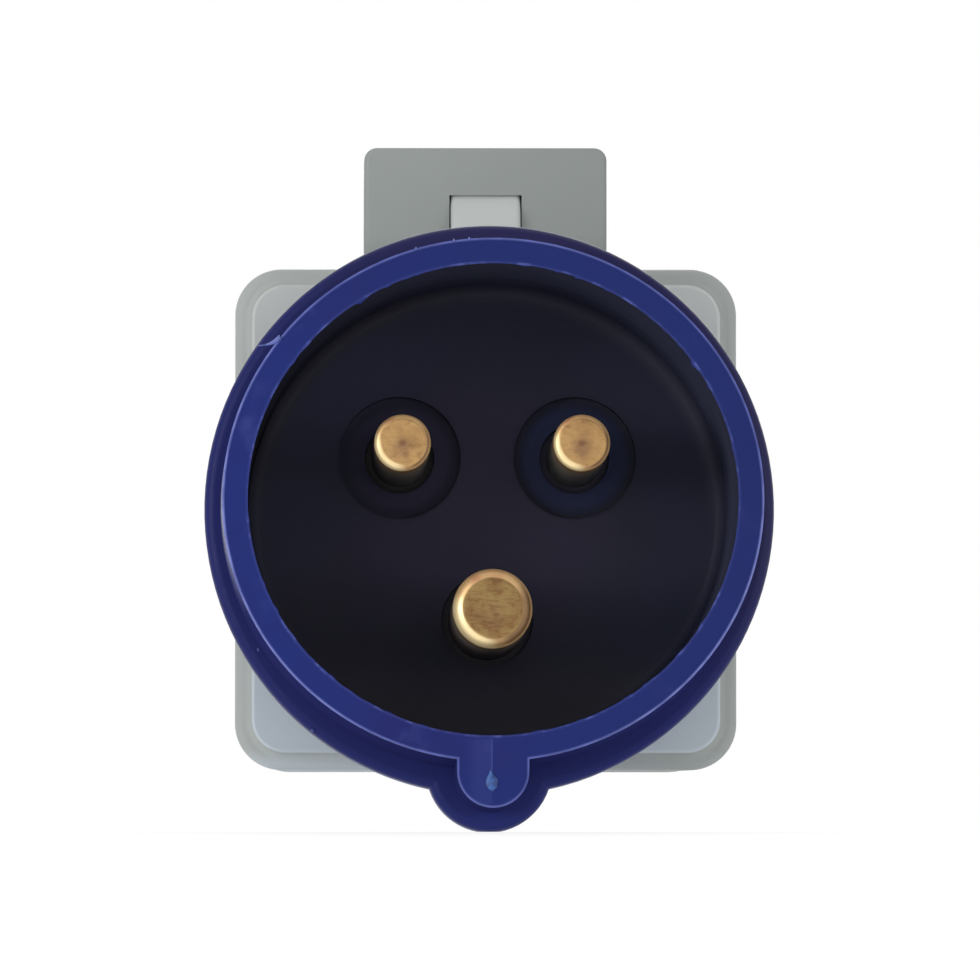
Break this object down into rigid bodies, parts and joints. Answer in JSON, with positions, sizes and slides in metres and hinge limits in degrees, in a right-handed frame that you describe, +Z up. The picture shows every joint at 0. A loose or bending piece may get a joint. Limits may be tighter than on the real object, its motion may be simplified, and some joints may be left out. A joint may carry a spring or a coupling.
{
  "type": "industrial plug to domestic socket adapter",
  "caption": "In-line adapter: round blue pin-and-sleeve plug with key nose in front, grey square housing with a spring-lidded domestic socket behind.",
  "frame": {"origin": "centre of the plug's mouth, on the plug's axis", "axes": "+Y from the plug's mouth back to the socket lid, +Z up to the hinge, +X to the right when one looks into the plug"},
  "size_m": [0.0508, 0.0911, 0.0647],
  "materials": {
    "blue_shroud": "moulded blue plastic, satin",
    "dark_carrier": "near-black navy insulating plastic",
    "pin_brass": "turned brass, lightly scratched",
    "inner_brass": "rolled brass strip and tube",
    "grey_housing": "light grey moulded plastic, fine grain",
    "grey_lid": "mid grey moulded plastic",
    "insert_grey": "grey insulating plastic",
    "seal_rubber": "soft black rubber",
    "steel": "zinc plated steel",
    "spring_steel": "bright spring steel"
  },
  "bodies": {
    "adapter": {"plug_shroud": "blue_shroud", "pin_carrier": "dark_carrier", "line_pin": "pin_brass", "neutral_pin": "pin_brass", "earth_pin": "pin_brass", "pin_nuts": "steel", "line_link": "inner_brass", "neutral_link": "inner_brass", "earth_link": "inner_brass", "plug_gasket": "seal_rubber", "plug_screws": "steel", "housing_shell": "grey_housing", "rear_gasket": "seal_rubber", "socket_body": "insert_grey", "face_screws": "steel", "sleeve_line": "inner_brass", "sleeve_neutral": "inner_brass", "sleeve_springs": "spring_steel", "contact_cover": "insert_grey", "cover_screw": "steel", "earth_bracket": "inner_brass", "hinge_pin": "steel", "lid_spring": "spring_steel"},
    "lid": {"lid": "grey_lid", "lid_gasket": "seal_rubber"}
  },
  "joints": [
    {"name": "lid_hinge", "type": "hinge", "parent": "adapter", "child": "lid", "pos_m": [0.00045, 0.08, 0.0277], "axis": [1, 0, 0], "range_deg": [0, 92], "stiffness_Nm_per_rad": 0.006, "springref_deg": -68.75, "deforming": ["lid_spring"]}
  ]
}
